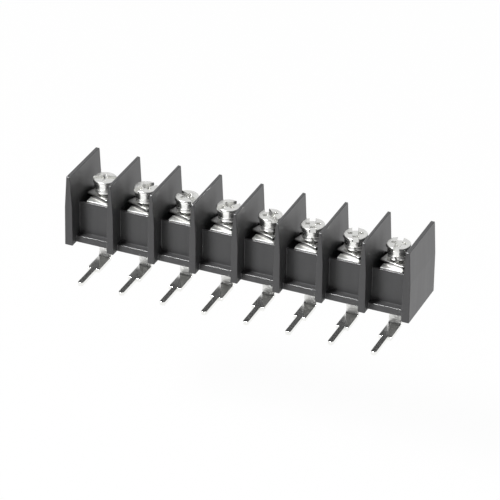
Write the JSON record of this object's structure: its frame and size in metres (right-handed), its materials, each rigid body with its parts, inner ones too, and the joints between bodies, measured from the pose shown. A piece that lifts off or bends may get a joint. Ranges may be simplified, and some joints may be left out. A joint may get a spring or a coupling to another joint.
{
  "type": "barrier terminal strip",
  "caption": "Single-row barrier terminal strip with screw clamps between tall black barriers and right-angle solder pins for a circuit board.",
  "frame": {"origin": "centre of the row of solder pins, in the plane of the barriers' front edges, which is the surface of the circuit board", "axes": "+X along the strip, +Y from the circuit board into the part, +Z along the screws towards their heads"},
  "size_m": [0.078, 0.0195, 0.0228],
  "materials": {
    "black_plastic": "glass-filled polyester, moulded, semi-gloss",
    "tinned_brass": "tin plated, bright",
    "plated_steel": "nickel plated, bright",
    "plated_spring_steel": "nickel plated, satin"
  },
  "bodies": {
    "strip": {"housing": "black_plastic", "terminal_1": "tinned_brass", "terminal_2": "tinned_brass", "terminal_3": "tinned_brass", "terminal_4": "tinned_brass", "terminal_5": "tinned_brass", "terminal_6": "tinned_brass", "terminal_7": "tinned_brass", "terminal_8": "tinned_brass"},
    "clamp_1": {"clamp_1": "plated_steel"},
    "lock_washer_1": {"lock_washer_1": "plated_spring_steel"},
    "screw_1": {"screw_1": "plated_steel"},
    "clamp_2": {"clamp_2": "plated_steel"},
    "lock_washer_2": {"lock_washer_2": "plated_spring_steel"},
    "screw_2": {"screw_2": "plated_steel"},
    "clamp_3": {"clamp_3": "plated_steel"},
    "lock_washer_3": {"lock_washer_3": "plated_spring_steel"},
    "screw_3": {"screw_3": "plated_steel"},
    "clamp_4": {"clamp_4": "plated_steel"},
    "lock_washer_4": {"lock_washer_4": "plated_spring_steel"},
    "screw_4": {"screw_4": "plated_steel"},
    "clamp_5": {"clamp_5": "plated_steel"},
    "lock_washer_5": {"lock_washer_5": "plated_spring_steel"},
    "screw_5": {"screw_5": "plated_steel"},
    "clamp_6": {"clamp_6": "plated_steel"},
    "lock_washer_6": {"lock_washer_6": "plated_spring_steel"},
    "screw_6": {"screw_6": "plated_steel"},
    "clamp_7": {"clamp_7": "plated_steel"},
    "lock_washer_7": {"lock_washer_7": "plated_spring_steel"},
    "screw_7": {"screw_7": "plated_steel"},
    "clamp_8": {"clamp_8": "plated_steel"},
    "lock_washer_8": {"lock_washer_8": "plated_spring_steel"},
    "screw_8": {"screw_8": "plated_steel"}
  },
  "joints": [
    {"name": "screw_1_lift", "type": "slide", "parent": "strip", "child": "lock_washer_1", "axis": [0, 0, 1], "range_m": [-0.00039, 0.0015]},
    {"name": "screw_1_turn", "type": "hinge", "parent": "lock_washer_1", "child": "screw_1", "pos_m": [-0.03325, 0.00785, 0.0173], "axis": [0, 0, 1], "range_deg": [-281, 1080]},
    {"name": "clamp_1_lift", "type": "slide", "parent": "strip", "child": "clamp_1", "axis": [0, 0, 1], "range_m": [0, 0.0003]},
    {"name": "screw_2_lift", "type": "slide", "parent": "strip", "child": "lock_washer_2", "axis": [0, 0, 1], "range_m": [-0.00039, 0.0015]},
    {"name": "screw_2_turn", "type": "hinge", "parent": "lock_washer_2", "child": "screw_2", "pos_m": [-0.02375, 0.00785, 0.0173], "axis": [0, 0, 1], "range_deg": [-281, 1080]},
    {"name": "clamp_2_lift", "type": "slide", "parent": "strip", "child": "clamp_2", "axis": [0, 0, 1], "range_m": [0, 0.0003]},
    {"name": "screw_3_lift", "type": "slide", "parent": "strip", "child": "lock_washer_3", "axis": [0, 0, 1], "range_m": [-0.00039, 0.0015]},
    {"name": "screw_3_turn", "type": "hinge", "parent": "lock_washer_3", "child": "screw_3", "pos_m": [-0.01425, 0.00785, 0.0173], "axis": [0, 0, 1], "range_deg": [-281, 1080]},
    {"name": "clamp_3_lift", "type": "slide", "parent": "strip", "child": "clamp_3", "axis": [0, 0, 1], "range_m": [0, 0.0003]},
    {"name": "screw_4_lift", "type": "slide", "parent": "strip", "child": "lock_washer_4", "axis": [0, 0, 1], "range_m": [-0.00039, 0.0015]},
    {"name": "screw_4_turn", "type": "hinge", "parent": "lock_washer_4", "child": "screw_4", "pos_m": [-0.00475, 0.00785, 0.0173], "axis": [0, 0, 1], "range_deg": [-281, 1080]},
    {"name": "clamp_4_lift", "type": "slide", "parent": "strip", "child": "clamp_4", "axis": [0, 0, 1], "range_m": [0, 0.0003]},
    {"name": "screw_5_lift", "type": "slide", "parent": "strip", "child": "lock_washer_5", "axis": [0, 0, 1], "range_m": [-0.00039, 0.0015]},
    {"name": "screw_5_turn", "type": "hinge", "parent": "lock_washer_5", "child": "screw_5", "pos_m": [0.00475, 0.00785, 0.0173], "axis": [0, 0, 1], "range_deg": [-281, 1080]},
    {"name": "clamp_5_lift", "type": "slide", "parent": "strip", "child": "clamp_5", "axis": [0, 0, 1], "range_m": [0, 0.0003]},
    {"name": "screw_6_lift", "type": "slide", "parent": "strip", "child": "lock_washer_6", "axis": [0, 0, 1], "range_m": [-0.00039, 0.0015]},
    {"name": "screw_6_turn", "type": "hinge", "parent": "lock_washer_6", "child": "screw_6", "pos_m": [0.01425, 0.00785, 0.0173], "axis": [0, 0, 1], "range_deg": [-281, 1080]},
    {"name": "clamp_6_lift", "type": "slide", "parent": "strip", "child": "clamp_6", "axis": [0, 0, 1], "range_m": [0, 0.0003]},
    {"name": "screw_7_lift", "type": "slide", "parent": "strip", "child": "lock_washer_7", "axis": [0, 0, 1], "range_m": [-0.00039, 0.0015]},
    {"name": "screw_7_turn", "type": "hinge", "parent": "lock_washer_7", "child": "screw_7", "pos_m": [0.02375, 0.00785, 0.0173], "axis": [0, 0, 1], "range_deg": [-281, 1080]},
    {"name": "clamp_7_lift", "type": "slide", "parent": "strip", "child": "clamp_7", "axis": [0, 0, 1], "range_m": [0, 0.0003]},
    {"name": "screw_8_lift", "type": "slide", "parent": "strip", "child": "lock_washer_8", "axis": [0, 0, 1], "range_m": [-0.00039, 0.0015]},
    {"name": "screw_8_turn", "type": "hinge", "parent": "lock_washer_8", "child": "screw_8", "pos_m": [0.03325, 0.00785, 0.0173], "axis": [0, 0, 1], "range_deg": [-281, 1080]},
    {"name": "clamp_8_lift", "type": "slide", "parent": "strip", "child": "clamp_8", "axis": [0, 0, 1], "range_m": [0, 0.0003]}
  ],
  "couplings": [
    {"joint": "screw_1_turn", "follows": "screw_1_lift", "rad_per_m": 12566},
    {"joint": "screw_2_turn", "follows": "screw_2_lift", "rad_per_m": 12566},
    {"joint": "screw_3_turn", "follows": "screw_3_lift", "rad_per_m": 12566},
    {"joint": "screw_4_turn", "follows": "screw_4_lift", "rad_per_m": 12566},
    {"joint": "screw_5_turn", "follows": "screw_5_lift", "rad_per_m": 12566},
    {"joint": "screw_6_turn", "follows": "screw_6_lift", "rad_per_m": 12566},
    {"joint": "screw_7_turn", "follows": "screw_7_lift", "rad_per_m": 12566},
    {"joint": "screw_8_turn", "follows": "screw_8_lift", "rad_per_m": 12566}
  ]
}
